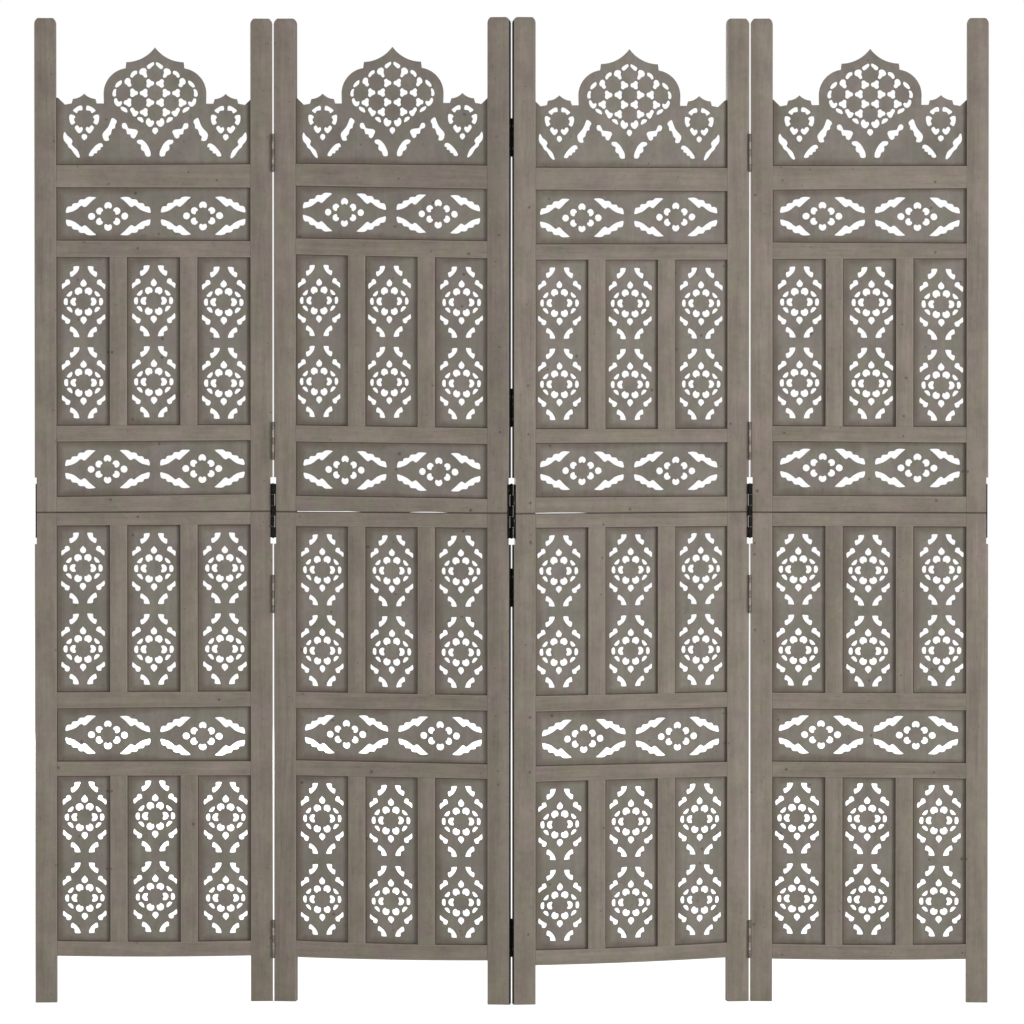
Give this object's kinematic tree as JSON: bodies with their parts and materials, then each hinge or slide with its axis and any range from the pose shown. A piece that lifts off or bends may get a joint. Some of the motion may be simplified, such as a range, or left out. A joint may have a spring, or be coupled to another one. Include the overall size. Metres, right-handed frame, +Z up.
{
  "type": "folding room divider",
  "caption": "Folding wooden screen whose hinged panels hold thin boards of sawn fretwork and end in arched, pierced crests between tall stiles.",
  "frame": {"origin": "centre of the bounding box in plan, at the floor under the stiles", "axes": "+Z up along the stiles, +X to the right along the row of panels, -Y towards the front"},
  "size_m": [1.599, 0.072, 1.65],
  "materials": {
    "frame_wood": "grey-brown washed, matt, with grain and worn edges",
    "board_wood": "grey-green washed, matt, with fine grain",
    "hinge_metal": "dull grey, worn",
    "dark_metal": "dark brown-black, satin",
    "screw_steel": "dulled steel"
  },
  "bodies": {
    "panel_1": {"panel_1_upper_left_stile": "frame_wood", "panel_1_upper_right_stile": "frame_wood", "panel_1_lower_left_stile": "frame_wood", "panel_1_lower_right_stile": "frame_wood", "panel_1_upper_rails": "frame_wood", "panel_1_lower_rails": "frame_wood", "panel_1_muntins": "frame_wood", "panel_1_crest": "board_wood", "panel_1_friezes": "board_wood", "panel_1_fret_boards": "board_wood", "panel_1_joining_plates": "dark_metal", "panel_1_screws": "screw_steel", "seam_1_left_hinge_leaves": "hinge_metal"},
    "panel_2": {"panel_2_upper_left_stile": "frame_wood", "panel_2_upper_right_stile": "frame_wood", "panel_2_lower_left_stile": "frame_wood", "panel_2_lower_right_stile": "frame_wood", "panel_2_upper_rails": "frame_wood", "panel_2_lower_rails": "frame_wood", "panel_2_muntins": "frame_wood", "panel_2_crest": "board_wood", "panel_2_friezes": "board_wood", "panel_2_fret_boards": "board_wood", "panel_2_joining_plates": "dark_metal", "panel_2_screws": "screw_steel", "seam_1_right_hinge_leaves": "hinge_metal", "seam_2_left_hinge_leaves": "dark_metal", "seam_1_hinge_pins": "hinge_metal", "seam_2_hinge_pins": "dark_metal"},
    "panel_3": {"panel_3_upper_left_stile": "frame_wood", "panel_3_upper_right_stile": "frame_wood", "panel_3_lower_left_stile": "frame_wood", "panel_3_lower_right_stile": "frame_wood", "panel_3_upper_rails": "frame_wood", "panel_3_lower_rails": "frame_wood", "panel_3_muntins": "frame_wood", "panel_3_crest": "board_wood", "panel_3_friezes": "board_wood", "panel_3_fret_boards": "board_wood", "panel_3_joining_plates": "dark_metal", "panel_3_screws": "screw_steel", "seam_2_right_hinge_leaves": "dark_metal", "seam_3_left_hinge_leaves": "hinge_metal", "seam_3_hinge_pins": "hinge_metal"},
    "panel_4": {"panel_4_upper_left_stile": "frame_wood", "panel_4_upper_right_stile": "frame_wood", "panel_4_lower_left_stile": "frame_wood", "panel_4_lower_right_stile": "frame_wood", "panel_4_upper_rails": "frame_wood", "panel_4_lower_rails": "frame_wood", "panel_4_muntins": "frame_wood", "panel_4_crest": "board_wood", "panel_4_friezes": "board_wood", "panel_4_fret_boards": "board_wood", "panel_4_joining_plates": "dark_metal", "panel_4_screws": "screw_steel", "seam_3_right_hinge_leaves": "hinge_metal"}
  },
  "joints": [
    {"name": "seam_1_hinges", "type": "hinge", "parent": "panel_2", "child": "panel_1", "pos_m": [-0.4, 0.01299, 0], "axis": [0, 0, 1], "range_deg": [-10.5, 169.5]},
    {"name": "seam_2_hinges", "type": "hinge", "parent": "panel_2", "child": "panel_3", "pos_m": [0, -0.01325, 0], "axis": [0, 0, 1], "range_deg": [-15, 165]},
    {"name": "seam_3_hinges", "type": "hinge", "parent": "panel_3", "child": "panel_4", "pos_m": [0.4, 0.01299, 0], "axis": [0, 0, -1], "range_deg": [-10.5, 169.5]}
  ]
}
